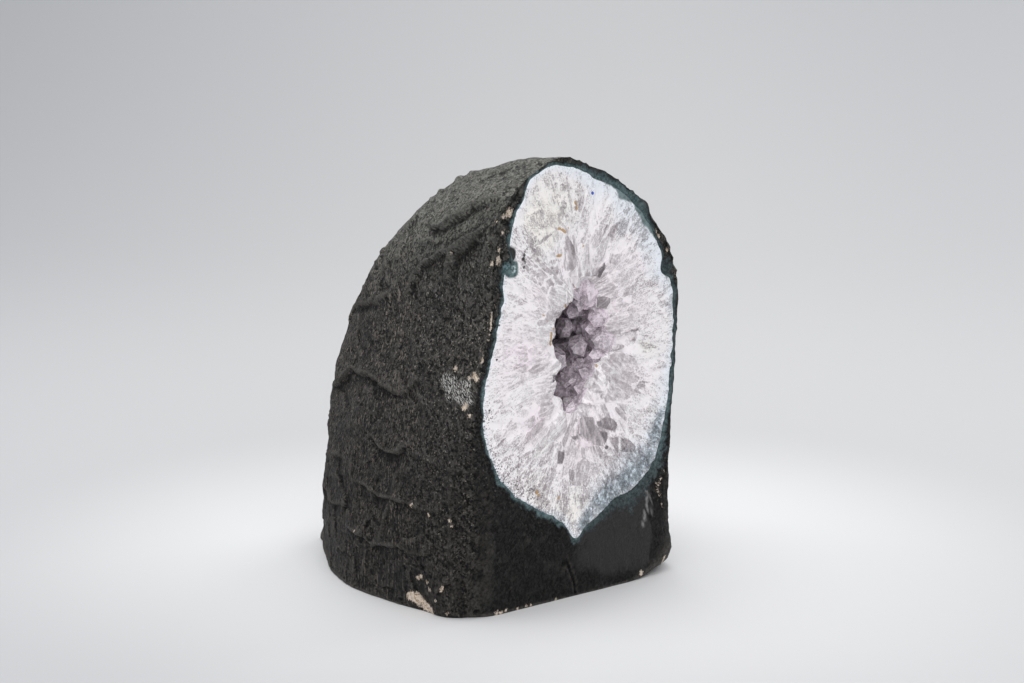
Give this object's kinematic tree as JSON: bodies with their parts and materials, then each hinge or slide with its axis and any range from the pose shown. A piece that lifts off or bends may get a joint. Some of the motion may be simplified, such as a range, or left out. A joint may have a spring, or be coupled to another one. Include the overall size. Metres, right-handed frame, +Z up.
{
  "type": "geode",
  "caption": "Standing quartz geode cut flat at the front and foot, with a dark rock rind, pale quartz and a crystal-lined hollow.",
  "frame": {"origin": "middle of the bounding box in plan, on the plane of the sawn foot", "axes": "+Z up from the foot to the top, -Y out of the sawn face"},
  "size_m": [0.119, 0.1332, 0.1597],
  "materials": {
    "painted_rind": "matt charcoal paint on rough rock",
    "milky_quartz": "sawn and polished",
    "pale_amethyst": "natural crystal faces"
  },
  "bodies": {
    "root": {"rock_shell": "painted_rind", "quartz_body": "milky_quartz", "crystal_crust": "pale_amethyst"}
  },
  "joints": []
}
